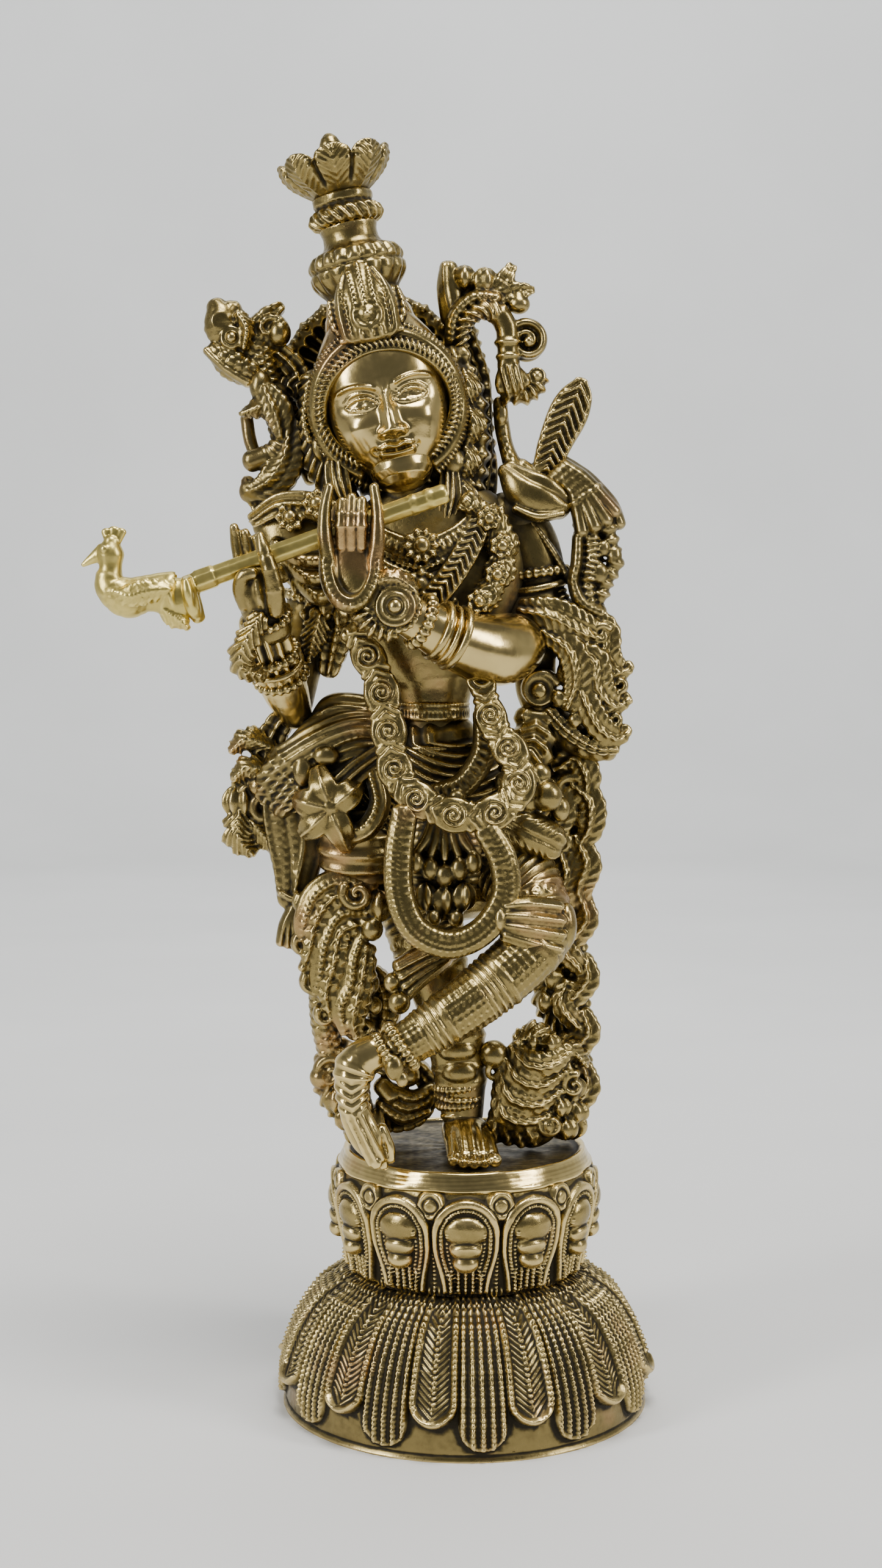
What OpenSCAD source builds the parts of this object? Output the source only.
// Cast brass figurine of a flute player in ornate dress, standing on a double-lotus pedestal.
// Millimetres, +Z up, front towards -Y. The origin is the centre of the pedestal's underside.
// Left and right are as seen from the front. The figure's own heights count from the deck's top.

/* [Pedestal] */
// Height of the deck's top above the underside
deck_top = 102; // [96:1:120]
// Radius of the flared lower lotus at its foot
skirt_r = 74; // [68:1:84]
// Height of the lower lotus, up to the pedestal's waist
skirt_h = 54; // [48:1:58]
// Radius of the pedestal's waist
waist_r = 47; // [44:1:50]
// Largest radius of the upper lotus
tier_r = 53; // [51:1:58]
// Radius of the deck plate
deck_r = 50; // [49:0.5:51]
// Thickness of the pedestal's cast walls
wall = 4; // [3:0.5:6]
// Number of long petals round the lower lotus
skirt_petals = 26; // [16:2:32]
// Number of arched petals round the upper lotus
tier_petals = 12; // [8:1:14]

/* [Head and crown] */
// Lean of the head and the crown, towards the left of a viewer
head_tilt = 12.5; // [8:0.5:14]
// Radius of the halo disc behind the head
halo_r = 38; // [34:1:42]
// Radius of the crown's lotus cup at its rim
cup_r = 21.5; // [17:0.5:23]
// Number of petals round the crown's cup
cup_petals = 8; // [6:1:10]

/* [Flute] */
// Radius of the eight-sided flute over its corners
flute_r = 4; // [3.5:0.1:4.2]
// Length of the flute rod
flute_l = 104; // [100:1:108]
// Rise of the flute above level, towards its mouth end
flute_rise = 19.5; // [19:0.25:20]
// Gap between the flute's corners and the bores of the hands
flute_gap = 0.3; // [0.2:0.05:0.5]

/* [Fixing] */
// Radius of the fixing screw's shank
screw_r = 3; // [2.5:0.25:3.5]

/* [Hidden] */

brass = "#9a7b35";
dark_brass = "#7d6430";
bright_brass = "#c4a550";
satin_brass = "#cbb866";
steel_grey = "#8d9094";

round_fn = 96;
// Heights on the pedestal
tier_base = skirt_h;
deck_t = 4;
deck_under = deck_top - deck_t;
rim_w = 3.5;
rim_h = 1;
// The fixing screw stands under the heel of the standing foot
screw_at = [-1, -6];
screw_grip = 8;
screw_head_h = 4;
screw_head_r = 2 * screw_r;
washer_t = 1.2;
washer_r = 3 * screw_r;
screw_slack = 0.05;
hole_slack = 0.4;
// Where the figure's own middle plane stands on the deck
figure_x = 3;
// The head's centre, above the deck
head_centre = [-33, -6, 293];
// Mouth end of the flute's axis, above the deck
flute_end = [-11, -36, 258];
bore_r = flute_r + flute_gap;

// ---- Helpers ----

// A station of a strand is [x, y, z, half width, half depth]
function place(s) = [s[0], s[1], s[2]];

function unit(v) = v / norm(v);

// The value at t, from 0 at b to 1 at c, on the smooth curve through a, b, c and d
function smooth(a, b, c, d, t) =
    (2 * b + (c - a) * t + (2 * a - 5 * b + 4 * c - d) * t * t
        + (3 * b - a - 3 * c + d) * t * t * t) / 2;

// Stations with steps between each pair filled in along the smooth curve
function filled(s, steps) =
    let (last = len(s) - 1)
    [for (i = [0 : last - 1]) for (k = [0 : steps - 1])
        smooth(s[max(i - 1, 0)], s[i], s[i + 1], s[min(i + 2, last)], k / steps), s[last]];

// A smaller station past the end of a strand, far half widths away along dir
function beyond(s, dir, far, shrink) =
    let (p = place(s) + dir * far * min(s[3], s[4]))
    [p[0], p[1], p[2], s[3] * shrink, s[4] * shrink];

// Stations with a domed cap added at both ends
function domed(s) =
    let (last = len(s) - 1,
        back = unit(place(s[0]) - place(s[1])),
        on = unit(place(s[last]) - place(s[last - 1])))
    concat([beyond(s[0], back, 0.85, 0.4), beyond(s[0], back, 0.5, 0.8)], s,
        [beyond(s[last], on, 0.5, 0.8), beyond(s[last], on, 0.85, 0.4)]);

// A closed solid round a smooth curve; facing is the direction that its depth lies along
module strand(stations, steps = 2, sides = 8, facing = [0, 1, 0]) {
    s = domed(filled(stations, steps));
    last = len(s) - 1;
    rings = [for (i = [0 : last])
        let (t = unit(place(s[min(i + 1, last)]) - place(s[max(i - 1, 0)])),
            u = unit(cross(t, facing)),
            v = cross(u, t))
        for (k = [0 : sides - 1])
            place(s[i]) + s[i][3] * cos(360 * k / sides) * u
                + s[i][4] * sin(360 * k / sides) * v];
    walls = [for (i = [0 : last - 1]) for (k = [0 : sides - 1])
        let (a = i * sides + k, b = i * sides + (k + 1) % sides)
        each [[a, b, b + sides], [a, b + sides, a + sides]]];
    near_end = [for (k = [sides - 1 : -1 : 0]) k];
    far_end = [for (k = [0 : sides - 1]) last * sides + k];
    polyhedron(rings, concat([near_end], walls, [far_end]));
}

// A rounded lump with half sizes w, d and h
module lump(at, w, d, h) {
    strand([[at[0], at[1], at[2] - 0.45 * h, 0.85 * w, 0.85 * d],
        [at[0], at[1], at[2], w, d],
        [at[0], at[1], at[2] + 0.45 * h, 0.85 * w, 0.85 * d]], 1);
}

// A ring of round section whose axis runs along dir
module ring(at, dir, ring_r, bar_r) {
    translate(at)
        rotate([0, acos(dir[2] / norm(dir)), atan2(dir[1], dir[0])])
            rotate_extrude($fn = round_fn)
                translate([ring_r, 0])
                    circle(bar_r, $fn = 32);
}

// Everything that stands on the deck
module on_deck() {
    translate([figure_x, 0, deck_top]) children();
}

// The head's own frame: origin at its centre, +Z out of the crown
module on_head() {
    on_deck() translate(head_centre) rotate([0, -head_tilt, 0]) children();
}

// The flute's own frame: origin at its mouth end, +Z along it towards the peacock
module on_flute() {
    on_deck() translate(flute_end) rotate([0, -90 - flute_rise, 0]) children();
}

module flute_bore() {
    on_flute() translate([0, 0, -30]) cylinder(r = bore_r, h = flute_l + 60, $fn = round_fn);
}

// ---- Pedestal ----

// Outline of n rounded petals of radius r, standing out by lobe
function scallops(n, r, lobe, per = 6) =
    [for (i = [0 : n * per - 1])
        let (turn = 360 * i / (n * per), out = r - lobe + lobe * sin(180 * (i % per) / per))
        [out * cos(turn), out * sin(turn)]];

// Heights and radii of the skirt's outline, from above its flat foot ring up to the waist
foot_h = 1.5;
skirt_steps = [[foot_h, skirt_r], [0.26 * skirt_h, skirt_r], [0.6 * skirt_h, 0.91 * skirt_r],
    [0.86 * skirt_h, 0.79 * skirt_r], [skirt_h, waist_r + 1]];
skirt_lobe = 3;

// The loops run up the petalled outside and back down the hollow inside
module lotus_skirt() {
    inset = skirt_lobe + wall;
    n = len(scallops(skirt_petals, skirt_r, skirt_lobe));
    outside = [for (s = skirt_steps) for (p = scallops(skirt_petals, s[1], skirt_lobe * s[1] / skirt_r))
        [p[0], p[1], s[0]]];
    inside = [for (i = [len(skirt_steps) - 1 : -1 : 0]) for (k = [0 : n - 1])
        let (s = skirt_steps[i], r = s[1] - inset, turn = 360 * k / n)
        [r * cos(turn), r * sin(turn), s[0]]];
    loops = 2 * len(skirt_steps);
    walls = [for (i = [0 : loops - 1]) for (k = [0 : n - 1])
        let (a = i * n, b = (i + 1) % loops * n, on = (k + 1) % n)
        [a + k, b + k, b + on, a + on]];
    color(dark_brass)
        union() {
            polyhedron(concat(outside, inside), walls);
            rotate_extrude($fn = round_fn)
                translate([skirt_r - inset + 0.5, 0])
                    square([wall - 1, 2 * foot_h]);
        }
}

// Outline of one arched petal, standing on its base
function arch(half_w, h) =
    let (spring = h - half_w)
    concat([[-0.8 * half_w, 0]],
        [for (a = [180 : -15 : 0]) [half_w * cos(a), spring + half_w * sin(a)]],
        [[0.8 * half_w, 0]]);

module lotus_tier() {
    tier_h = deck_under - tier_base;
    petal_w = 0.86 * tier_r * tan(180 / tier_petals);
    petal_h = tier_h - 6;
    boss_r = 0.42 * petal_w;
    color(brass)
        difference() {
            union() {
                translate([0, 0, tier_base])
                    rotate_extrude($fn = round_fn)
                        polygon([[0, 0], [waist_r, 0], [waist_r + 1.5, 0.2 * tier_h],
                            [tier_r - 1, 0.5 * tier_h], [tier_r - 1, 0.8 * tier_h],
                            [deck_r - 1, tier_h], [0, tier_h]]);
                for (i = [0 : tier_petals - 1])
                    rotate([0, 0, 360 * i / tier_petals]) {
                        translate([0, -tier_r + 4, tier_base + 3])
                            rotate([90, 0, 0])
                                linear_extrude(5.5) polygon(arch(petal_w, petal_h));
                        translate([0, -tier_r + 2.5, tier_base + 0.45 * tier_h])
                            sphere(boss_r, $fn = 48);
                    }
            }
            translate([0, 0, tier_base - 1])
                rotate_extrude($fn = round_fn)
                    polygon([[0, 0], [waist_r - wall - 3, 0], [waist_r - wall, 0.2 * tier_h],
                        [tier_r - wall - 5, 0.5 * tier_h], [tier_r - wall - 5, tier_h + 2],
                        [0, tier_h + 2]]);
        }
}

module deck_plate() {
    color(brass)
        difference() {
            translate([0, 0, deck_under])
                rotate_extrude($fn = round_fn)
                    polygon([[0, 0], [deck_r - 1, 0], [deck_r, 1.5],
                        [deck_r - 0.5, deck_t + rim_h], [deck_r - rim_w, deck_t + rim_h],
                        [deck_r - rim_w - 1, deck_t], [0, deck_t]]);
            translate([screw_at[0], screw_at[1], deck_under - 1])
                cylinder(r = screw_r + hole_slack, h = deck_t + 2, $fn = round_fn);
        }
}

module fixing_washer() {
    color(steel_grey)
        translate([screw_at[0], screw_at[1], deck_under - washer_t])
            difference() {
                cylinder(r = washer_r, h = washer_t, $fn = round_fn);
                translate([0, 0, -1])
                    cylinder(r = screw_r + hole_slack, h = washer_t + 2, $fn = round_fn);
            }
}

module fixing_screw() {
    shank_base = deck_under - washer_t;
    color(steel_grey)
        translate([screw_at[0], screw_at[1], 0])
            union() {
                translate([0, 0, shank_base - screw_head_h])
                    cylinder(r = screw_head_r, h = screw_head_h, $fn = 6);
                translate([0, 0, shank_base - 1])
                    cylinder(r = screw_r, h = deck_top + screw_grip - shank_base,
                        $fn = round_fn);
            }
}

// ---- Legs ----

module standing_leg() {
    color(brass) on_deck()
        strand([[-21, 1, 108, 16, 14], [-20, 0, 93, 15, 13], [-15, -2, 72, 12.5, 12],
            [-9, -5, 50, 11, 11], [-6, -7, 30, 8.5, 8.5], [-5, -8, 15, 7.5, 7.5]], 2, 10);
}

module standing_foot() {
    color(brass)
        difference() {
            on_deck()
                intersection() {
                    strand([[-5, 3, 5.5, 6.5, 6.5], [-4, -8, 7, 7.5, 8], [-1, -24, 5, 8.5, 6],
                        [0, -38, 3, 8.5, 3.8]], 2, 10, [0, 0, 1]);
                    translate([-30, -60, 0]) cube([60, 80, 30]);
                }
            translate([screw_at[0], screw_at[1], deck_top - 1])
                cylinder(r = screw_r + screw_slack, h = screw_grip + 2, $fn = round_fn);
        }
}

module standing_anklets() {
    color(bright_brass) on_deck() {
        ring([-5.6, -7.4, 26], [0.08, -0.04, -1], 8.2, 2);
        ring([-5.2, -7.8, 19], [0.08, -0.04, -1], 7.9, 1.8);
    }
}

module crossed_leg() {
    color(brass) on_deck()
        strand([[15, -7, 117, 15, 13.5], [24, -15, 107, 14.5, 13.5], [31, -24, 94, 13, 12],
            [21, -33, 82, 11.5, 11], [4, -38, 70, 10.5, 10], [-16, -42, 58, 8.5, 8.5],
            [-31, -44, 48, 6.5, 6.5]], 2, 10);
}

module crossed_foot() {
    color(brass) on_deck()
        strand([[-41, -45, 47, 6.5, 6], [-46, -46, 38, 7, 6.5], [-43, -47, 25, 5.5, 6.5],
            [-38, -48, 12, 5, 4.5], [-36, -48, 6, 4, 3]], 2, 10);
}

module crossed_anklets() {
    color(bright_brass) on_deck() {
        ring([-27, -43.4, 51], [-15, -2, -10], 7.6, 1.8);
        ring([-32.5, -44.2, 47.5], [-15, -2, -10], 7.4, 1.8);
    }
}

module knee_leaf() {
    color(bright_brass) on_deck() {
        for (fold = [-1 : 1])
            strand([[10, -41, 94 - 2 * fold, 2.5, 2.5], [20, -41 + fold, 95 - 4 * fold, 4, 4],
                [33, -33, 95 - 5 * fold, 3, 4]], 2, 6);
    }
}

// ---- Hips and waist ----

module hips_dhoti() {
    color(brass) on_deck() {
        strand([[-14, 2, 106, 28, 18], [-14, 2, 128, 36, 21], [-15, 1, 146, 31, 18],
            [-15, 0, 158, 17, 13]], 2, 14);
        lump([-46, -8, 121], 14, 12, 17);
    }
}

module dhoti_tassels() {
    color(bright_brass) on_deck() {
        strand([[-11, -20, 138, 5, 5], [-11, -24, 118, 5, 5], [-11, -25, 103, 8, 6]], 2);
        for (side = [-1, 1])
            strand([[-11 + 4 * side, -21, 134, 4, 4], [-11 + 7 * side, -24, 122, 4, 4],
                [-11 + 10 * side, -25, 113, 5, 5]], 2);
    }
}

module waist_chain() {
    color(bright_brass) on_deck()
        strand([[4, -12, 174, 4, 3], [4, -18, 159, 5, 3.5], [-4, -20, 147, 5, 3.5],
            [-16, -20, 143, 4, 3]], 3);
}

module waist_belts() {
    waist = [-15.5, 0];
    color(bright_brass) on_deck() {
        for (z = [157, 174])
            translate([waist[0], waist[1], z])
                rotate_extrude($fn = round_fn)
                    translate([10, -2.5]) square([4.5, 5]);
    }
}

module hip_sash_left() {
    color(dark_brass) on_deck()
        strand([[-40, -8, 168, 9, 8], [-54, -11, 164, 12, 9], [-67, -10, 152, 12, 8],
            [-76, -7, 143, 9, 6]], 3, 10);
}

module sash_knot_left() {
    centre = [-53, -22, 141];
    color(bright_brass) on_deck() {
        lump(centre, 7, 5, 7);
        for (turn = [20 : 72 : 380])
            strand([[centre[0], centre[1], centre[2], 4.5, 4],
                [centre[0] + 9 * cos(turn), centre[1] + 1, centre[2] + 9 * sin(turn), 4, 3],
                [centre[0] + 15 * cos(turn), centre[1] + 3, centre[2] + 15 * sin(turn), 1.5, 1.5]],
                1, 6);
    }
}

module sash_tail_left() {
    color(dark_brass) on_deck()
        strand([[-76, -5, 146, 7, 4], [-76, -5, 122, 10, 4], [-70, -5, 98, 8, 4],
            [-66, -5, 84, 10, 3.5]], 3);
}

module hip_knot_right() {
    color(brass) on_deck() {
        strand([[10, -14, 136, 8, 6], [20, -17, 131, 10, 8], [29, -15, 122, 8, 7]], 2);
        lump([27, -20, 143], 6, 5, 6);
        strand([[14, -8, 146, 7, 6], [22, -5, 158, 8, 6], [24, -3, 170, 6, 5]], 2);
    }
}

module drapery_end() {
    color(brass) on_deck()
        strand([[-8, -14, 80, 8, 6], [-20, -20, 78, 8, 6], [-31, -26, 73, 5, 4],
            [-29, -28, 64, 3.5, 3.5]], 2);
}

// ---- Torso ----

module torso() {
    color(brass) on_deck() {
        strand([[-15, 0, 154, 12, 11], [-15.5, 0, 168, 11.5, 10.5], [-16, 0, 184, 14, 12],
            [-17, 0, 202, 23, 14], [-18, 0, 226, 31, 16], [-20, 1, 243, 34, 14],
            [-22, 1, 253, 22, 12]], 2, 14);
        strand([[-23, 0, 250, 11, 10], [-26, -2, 264, 9.5, 9.5], [-28, -4, 274, 9, 9]], 1, 12);
    }
}

module necklaces() {
    color(bright_brass) on_deck() {
        strand([[-46, -10, 250, 4, 3], [-36, -16, 240, 5, 3], [-20, -18, 234, 6, 3],
            [-6, -16, 240, 5, 3], [2, -10, 250, 4, 3]], 3);
        strand([[-44, -14, 232, 4, 3], [-32, -17, 222, 5, 3], [-20, -18, 218, 6, 3],
            [-10, -17, 222, 4, 3]], 3);
        for (z = [239, 224])
            lump([-20, -19, z], 6.5, 4, 6.5);
    }
}

module shoulder_garland() {
    color(bright_brass) on_deck()
        strand([[-2, -13, 256, 4, 4], [9, -14, 247, 6, 4], [11, -16, 232, 6, 4],
            [4, -19, 218, 5, 4], [-4, -18, 210, 4, 4]], 3);
}

module shoulder_drape_left() {
    color(bright_brass) on_deck() {
        strand([[-77, -10, 251, 5, 5], [-67, -14, 254, 7, 5], [-55, -17, 247, 7, 5],
            [-44, -15, 246, 5, 4]], 2);
        strand([[-69, -11, 251, 4, 4], [-66, -12, 240, 6, 4], [-58, -14, 231, 7, 4],
            [-48, -15, 228, 6, 4]], 2);
    }
}

module upper_garland() {
    color(bright_brass) on_deck()
        strand([[-46, -26, 206, 5, 4], [-37, -27, 190, 6.5, 4], [-33, -29, 172, 6.5, 4],
            [-30, -31, 154, 6.5, 4], [-22, -35, 143, 6.5, 4], [-8, -38, 137, 6.5, 4],
            [6, -38, 137, 6.5, 4], [16, -34, 145, 6.5, 4], [16, -30, 157, 6.5, 4],
            [8, -26, 170, 6, 4], [3, -22, 188, 5, 4]], 3);
}

module lower_garland() {
    color(bright_brass) on_deck()
        strand([[-26, -36, 138, 5, 3.5], [-28.5, -36, 122, 5.5, 3.5], [-28, -37, 106, 5.5, 3.5],
            [-22, -39, 93, 5.5, 3.5], [-9, -40, 87.5, 5.5, 3.5], [4, -39, 93, 5.5, 3.5],
            [12, -38, 106, 5.5, 3.5], [11, -38, 120, 5.5, 3.5], [5, -38, 131, 5, 3.5]], 3);
}

// ---- Arms ----

module left_upper_arm() {
    color(brass) on_deck()
        strand([[-46, 2, 246, 11, 10], [-56, 1, 233, 9.5, 9.5], [-64, 1, 214, 8.5, 8.5],
            [-69, 0, 194, 7.5, 7.5], [-71, -2, 178, 7, 7]], 2, 10);
}

module left_forearm() {
    color(bright_brass) on_deck()
        strand([[-71, -4, 176, 7, 7], [-74, -12, 187, 7.5, 7.5], [-77, -22, 199, 7, 7],
            [-80, -30, 210, 6, 6]], 2, 10);
}

module left_bangles() {
    arm = [-3, -9, 12];
    color(bright_brass) on_deck() {
        ring([-75.4, -17, 193], arm, 8, 1.8);
        ring([-76.8, -21.3, 198.5], arm, 7.8, 1.8);
    }
}

module left_hand() {
    color(brass)
        difference() {
            on_deck() {
                strand([[-80, -31, 212, 6, 5], [-83, -34, 220, 8.5, 7], [-84, -36, 232, 10, 8.5],
                    [-86, -34, 242, 7, 5]], 2, 10);
                strand([[-77, -41, 222, 3.5, 3.5], [-76, -44, 232, 3.2, 3.2],
                    [-78, -42.5, 242, 2.6, 2.6]], 2);
                strand([[-90, -33, 228, 3.5, 3.5], [-93.5, -34, 238, 3, 3],
                    [-93, -35, 247, 2.2, 2.2]], 2);
            }
            flute_bore();
        }
}

module right_upper_arm() {
    color(brass) on_deck()
        strand([[14, 3, 250, 11, 10], [27, 4, 242, 10, 9.5], [31, 3, 225, 8.5, 8.5],
            [25, -2, 208, 8, 8]], 2, 10);
}

module right_forearm() {
    color(bright_brass) on_deck()
        strand([[24, -3, 205, 7.5, 7.5], [17, -13, 198, 9.5, 9.5], [3, -24, 200, 9, 9],
            [-12, -33, 207, 7, 7], [-27, -38, 213, 5.5, 5.5]], 2, 10);
}

module right_bracelets() {
    arm = [-15, -6, 6.5];
    color(bright_brass) on_deck() {
        ring([-8, -30.5, 205], arm, 8.4, 1.8);
        ring([-14, -34, 208], arm, 7.6, 1.8);
        lump([-28, -43, 214], 7, 3.5, 7);
    }
}

module right_hand() {
    color(brass)
        difference() {
            on_deck() {
                strand([[-30, -38, 214, 6, 5], [-40, -39, 222, 8, 6.5], [-45, -38, 232, 10, 8],
                    [-45.5, -37, 245, 9.5, 7.5], [-46, -36, 252, 8, 6]], 2, 10);
                strand([[-53, -41, 230, 3.5, 3.5], [-55, -42, 245, 3, 3],
                    [-53.5, -42, 258, 2.2, 2.2]], 2);
                strand([[-39, -41, 230, 3.5, 3.5], [-36.5, -42, 245, 3, 3],
                    [-37, -42, 258, 2.2, 2.2]], 2);
            }
            flute_bore();
        }
}

// ---- Head and crown, in the head's frame ----

module head() {
    color(bright_brass) on_head() {
        strand([[0, -8, -26, 10, 9], [0, -4, -17, 17.5, 18], [0, 0, -6, 22, 23],
            [0, 2, 7, 24, 24], [0, 3, 20, 23, 22], [0, 3, 32, 18, 17]], 2, 16);
        strand([[0, -23, -8, 4, 4], [0, -22, 3, 2.5, 4]], 1, 6);
    }
}

module headband() {
    arc_r = 26;
    color(brass) on_head()
        strand([for (a = [-25 : 23 : 205])
            [arc_r * cos(a), -15 - 3 * sin(a), 3 + arc_r * sin(a), 4, 5]], 1);
}

module ear_ornaments() {
    color(brass) on_deck() {
        strand([[-60, -4, 300, 5, 6], [-61, -5, 286, 6, 6], [-57, -8, 272, 5, 5],
            [-50, -9, 262, 4.5, 4.5]], 2);
        strand([[-6, 0, 306, 5, 6], [-3, 1, 290, 5.5, 6], [-3, 0, 274, 6, 6],
            [-5, 0, 258, 5, 5]], 2);
    }
}

module halo_disc() {
    color(dark_brass) on_deck()
        translate([-39, 19, 303])
            rotate([-90, 0, 0])
                rotate_extrude($fn = round_fn)
                    polygon([[0, 0], [halo_r - 5, 0], [halo_r - 3, -3], [halo_r, -2],
                        [halo_r, 4], [halo_r - 4, 5], [0, 3]]);
}

module aigrette() {
    color(bright_brass) on_head() {
        for (side = [-1 : 1])
            strand([[0, -23, 27, 4, 4], [3.5 * side, -20, 38, 3.5, 4],
                [4 * side, -15, 49 - 2 * abs(side), 1.8, 3]], 2, 6);
        lump([0, -25, 33], 5.5, 3.5, 5.5);
    }
}

module crown_tier() {
    color(brass) on_head()
        rotate_extrude($fn = round_fn)
            polygon([[0, 26], [17.5, 26], [15.5, 38], [13, 46], [17, 49], [18, 55], [16, 61],
                [12, 63], [11, 66], [11.5, 71], [0, 71]]);
}

module crown_rope() {
    color(bright_brass) on_head()
        rotate_extrude($fn = round_fn)
            polygon([[0, 71], [11, 71], [13.3, 73], [13.3, 76], [11, 78], [9, 79], [9, 82],
                [0, 82]]);
}

module crown_cup() {
    petal_w = cup_r * sin(180 / cup_petals);
    color(bright_brass) on_head() {
        rotate_extrude($fn = round_fn)
            polygon([[0, 82], [9, 82], [13, 86], [16, 91], [17, 97], [14.5, 97], [13, 92],
                [9, 88], [0, 88]]);
        for (i = [0 : cup_petals - 1])
            rotate([0, 0, 360 * (i + 0.5) / cup_petals])
                strand([[10.5, 0, 84, 2, 4], [16.5, 0, 88, 2, petal_w - 1],
                    [cup_r - 2, 0, 95, 1.6, petal_w - 2.5]], 1, 6);
    }
}

module crown_finial() {
    color(bright_brass) on_head()
        rotate_extrude($fn = round_fn)
            polygon([[0, 88], [5, 88], [4, 92], [3.5, 95], [5, 98], [5, 101], [2.5, 105],
                [0.8, 107.5], [0, 107.5]]);
}

// ---- Scroll and scarf castings, left ----

module upper_scroll_left() {
    color(brass) on_deck() {
        strand([[-65, 15, 292, 5, 5], [-72, 9, 304, 5, 5], [-77, 7, 315, 7, 6],
            [-76, 6, 327, 6, 6], [-74, 6, 335, 4, 5]], 2);
        strand([[-80, 6, 316, 7, 6], [-91, 6, 317, 8, 6], [-97, 6, 326, 7, 6],
            [-99, 6, 334, 4.5, 5]], 2);
        strand([[-88, 5, 312, 5, 4.5], [-97, 5, 311.5, 6, 4.5], [-91, 5, 304, 4, 3.5]], 1, 10);
    }
}

module leaf_mass_left() {
    color(dark_brass) on_deck() {
        strand([[-76, 6, 306, 5, 5], [-85, 6, 297, 5.5, 5], [-86, 6, 288, 6, 5],
            [-82, 5, 276, 8, 6], [-78, 2, 266, 9, 6], [-78, -4, 254, 6, 5]], 2);
        strand([[-76, 8, 298, 5, 4], [-70, 8, 286, 5, 4], [-69, 6, 272, 5, 4],
            [-72, 2, 258, 6, 6]], 2);
    }
}

module hip_scroll_left() {
    color(brass) on_deck() {
        strand([[-72, 0, 176, 5, 5], [-79, 0, 165, 8, 6], [-83, 0, 152, 7, 6],
            [-91, 0, 144, 8, 6], [-90, 0, 131, 8.5, 6], [-87, 0, 123, 6, 5]], 2);
        strand([[-92, 0, 140, 5, 5], [-84, 0, 134, 5, 5], [-80, -2, 128, 4.5, 4.5]], 2, 6);
    }
}

module feather_scroll_left() {
    color(bright_brass) on_deck() {
        strand([[-35, -13, 92, 4.5, 4], [-38, -14, 105, 5, 5], [-50, -13, 110, 8, 6],
            [-60, -10, 102, 9, 6], [-61, -9, 86, 10, 6], [-58, -10, 70, 10, 6],
            [-52, -10, 56, 8, 6], [-45, -11, 48, 6, 5]], 2);
        strand([[-50, -12, 98, 8, 5], [-48, -12, 82, 7, 5], [-44, -12, 66, 6, 5],
            [-43, -11, 54, 5, 5]], 2);
        strand([[-60, -6, 66, 6, 5], [-59, -4, 50, 5, 5], [-56, -3, 38, 5, 5]], 2);
    }
}

module foot_curl_left() {
    color(brass) on_deck()
        intersection() {
            union() {
                strand([[-49, -2, 38, 5, 4], [-57, -2, 32, 6, 5], [-56, -2, 22, 6, 5],
                    [-50, -1, 14, 6, 5], [-43, 0, 4, 6, 5]], 2);
                strand([[-44, -2, 38, 5, 4], [-45, -2, 26, 5, 4], [-43, -1, 12, 5, 4]], 2, 6);
            }
            translate([-80, -20, 0]) cube([60, 40, 60]);
        }
}

module foot_curl_centre() {
    color(brass) on_deck()
        strand([[-44, 6, 12, 5, 4], [-34, 8, 9, 5, 5], [-23, 9, 13, 6, 5], [-17, 9, 22, 5, 5],
            [-24, 9, 30, 5, 4], [-35, 6, 32, 5, 4], [-44, 3, 38, 5, 4]], 2);
}

// ---- Scroll and scarf castings, right ----

module upper_scroll_right() {
    color(brass) on_deck() {
        strand([[-6, 6, 256, 7, 5], [0, 8, 272, 7, 5], [1, 9, 298, 6, 5], [-2, 9, 318, 6, 6],
            [-7, 8, 334, 7, 6], [-9, 8, 346, 5, 6]], 2);
        strand([[-6, 8, 338, 5, 6], [4, 8, 343, 7, 6], [14, 8, 344, 7, 6],
            [21, 8, 337, 5, 5]], 2);
        strand([[-4, 7, 328, 5, 5], [5, 4, 333, 6, 6], [12, 3, 323, 5, 5],
            [13, 3, 310, 5, 5], [18, 4, 303, 5, 5]], 2);
        strand([[15, 5, 327, 5, 5], [24, 5, 326, 5, 5], [26, 5, 316, 5.5, 5],
            [20, 4, 308, 5, 5]], 2);
    }
}

module pointed_leaf_right() {
    color(brass) on_deck() {
        strand([[28, 1, 266, 6, 4], [34, 2, 280, 8, 3.5], [40, 2, 294, 6.5, 3],
            [43, 2, 303, 2, 2]], 2);
        strand([[10, 0, 272, 5, 5], [20, -1, 264, 8, 6], [24, -3, 254, 8, 6]], 2);
        strand([[13, 4, 302, 3, 3], [16, 4, 288, 3, 3], [18, 2, 270, 4, 4]], 2, 6);
    }
}

module shoulder_scarf_right() {
    color(dark_brass) on_deck()
        strand([[28, 0, 264, 6, 5], [40, -2, 261, 8, 5], [48, -3, 249, 8, 5],
            [51, -4, 232, 8, 5], [49, -3, 217, 6, 5], [44, 0, 207, 5, 5]], 3);
}

module elbow_scarf_right() {
    color(brass) on_deck() {
        strand([[24, 4, 210, 6, 5], [33, 2, 213, 8, 6], [44, 0, 206, 10, 6],
            [51, -1, 192, 9, 6], [56, -2, 176, 7, 5], [59, -2, 166, 4, 4]], 2);
        strand([[30, 2, 204, 8, 6], [27, 1, 192, 8, 6], [26, 0, 182, 8, 7],
            [33, 0, 170, 6, 6], [45, -1, 161, 5.5, 5], [55, -2, 160, 4, 4]], 2);
    }
}

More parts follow.
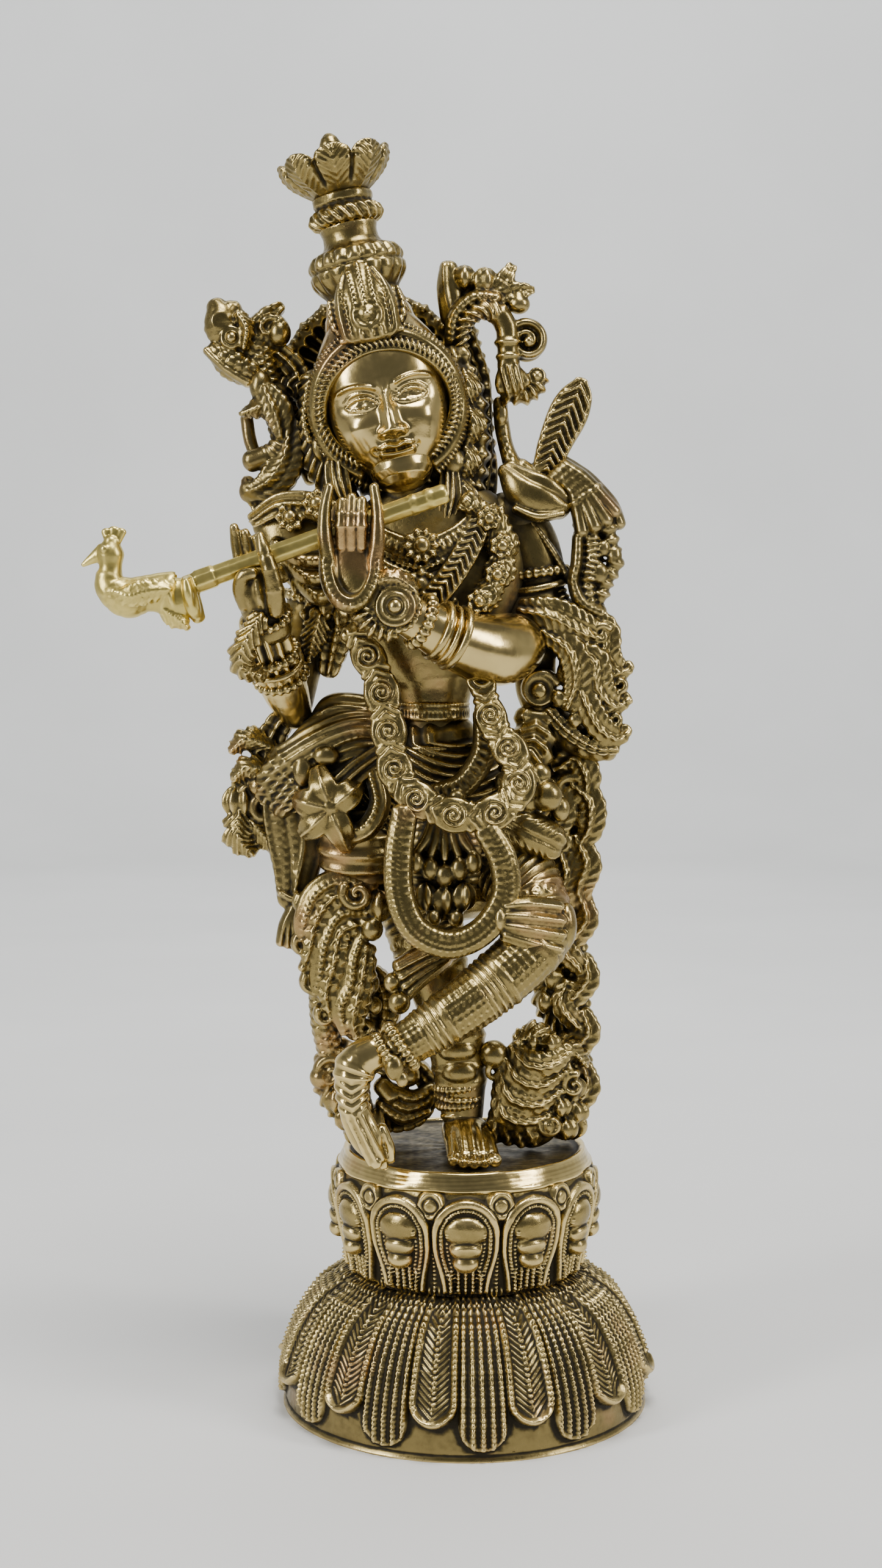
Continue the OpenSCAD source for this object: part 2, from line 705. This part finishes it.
module creeper_right() {
    color(brass) on_deck()
        intersection() {
            union() {
                strand([[35, 8, 156, 4, 5], [42, 8, 148, 6.5, 6], [44, 8, 133, 6, 5],
                    [38, 8, 120, 6, 5], [43, 8, 106, 6, 5], [38, 8, 93, 6, 5],
                    [42, 8, 80, 5.5, 5], [44, 8, 62, 5.5, 5], [44, 8, 44, 5.5, 5],
                    [43, 7, 24, 5.5, 5], [36, 6, 3, 6, 5]], 2);
                strand([[38, 7, 122, 5, 4], [31, 4, 114, 5, 4], [27, -2, 108, 4, 4]], 1, 6);
                strand([[40, 8, 74, 4, 4], [34, 8, 64, 4, 4], [36, 8, 54, 4, 4],
                    [43, 8, 46, 4, 4]], 1, 6);
            }
            translate([10, -20, 0]) cube([60, 50, 180]);
        }
}

module foot_scroll_right() {
    color(bright_brass) on_deck()
        intersection() {
            union() {
                strand([[29, -9, 4, 7, 6], [20, -8, 15, 7, 6], [16, -8, 28, 7, 6],
                    [22, -8, 39, 7, 6], [32, -7, 41, 6.5, 5], [38, -5, 33, 6, 5],
                    [39, -4, 21, 6, 5], [34, -6, 9, 6, 5]], 2);
                strand([[16, -8, 30, 5, 5], [9, -8, 38, 5.5, 5.5]], 2);
            }
            translate([-10, -30, 0]) cube([70, 40, 60]);
        }
}

// ---- Flute ----

module flute_rod() {
    flange_h = 4;
    saddle_l = 7;
    flange = [[6, -7], [8, 0], [6, 7], [-4, 8], [-12, 5], [-14, 0], [-12, -5], [-4, -8]];
    color(satin_brass) on_flute()
        union() {
            rotate([0, 0, 22.5]) cylinder(r = flute_r, h = flute_l, $fn = 8);
            translate([1, 0, flute_l - saddle_l - flange_h - 1]) rotate([0, 0, 22.5])
                cylinder(r = flute_r + 0.6, h = saddle_l, $fn = 8);
            translate([0, 0, flute_l - flange_h])
                linear_extrude(flange_h) polygon(flange);
        }
}

module peacock_finial() {
    color(satin_brass) on_deck() {
        strand([[-109, -36, 221, 5, 4.5], [-116, -36, 219, 6, 5], [-124, -36, 217, 6, 5.5],
            [-132, -36, 218, 7, 6], [-138, -36, 226, 5.5, 5], [-138, -36, 235, 4.5, 4.5],
            [-139, -36, 240, 4.5, 4]], 2);
        strand([[-141, -36, 238.5, 3, 2.5], [-148, -36, 232, 1, 0.8]], 2, 6);
        lump([-136.5, -36, 245], 3.5, 1.5, 3.5);
    }
}

lotus_skirt();
lotus_tier();
deck_plate();
fixing_screw();
fixing_washer();
standing_leg();
standing_foot();
standing_anklets();
crossed_leg();
crossed_foot();
crossed_anklets();
knee_leaf();
hips_dhoti();
dhoti_tassels();
hip_sash_left();
sash_knot_left();
sash_tail_left();
hip_knot_right();
waist_chain();
waist_belts();
drapery_end();
torso();
necklaces();
shoulder_garland();
shoulder_drape_left();
upper_garland();
lower_garland();
left_upper_arm();
left_forearm();
left_hand();
left_bangles();
right_upper_arm();
right_forearm();
right_hand();
right_bracelets();
head();
headband();
ear_ornaments();
halo_disc();
aigrette();
crown_tier();
crown_rope();
crown_cup();
crown_finial();
upper_scroll_left();
leaf_mass_left();
hip_scroll_left();
feather_scroll_left();
foot_curl_left();
foot_curl_centre();
upper_scroll_right();
pointed_leaf_right();
shoulder_scarf_right();
elbow_scarf_right();
creeper_right();
foot_scroll_right();
flute_rod();
peacock_finial();
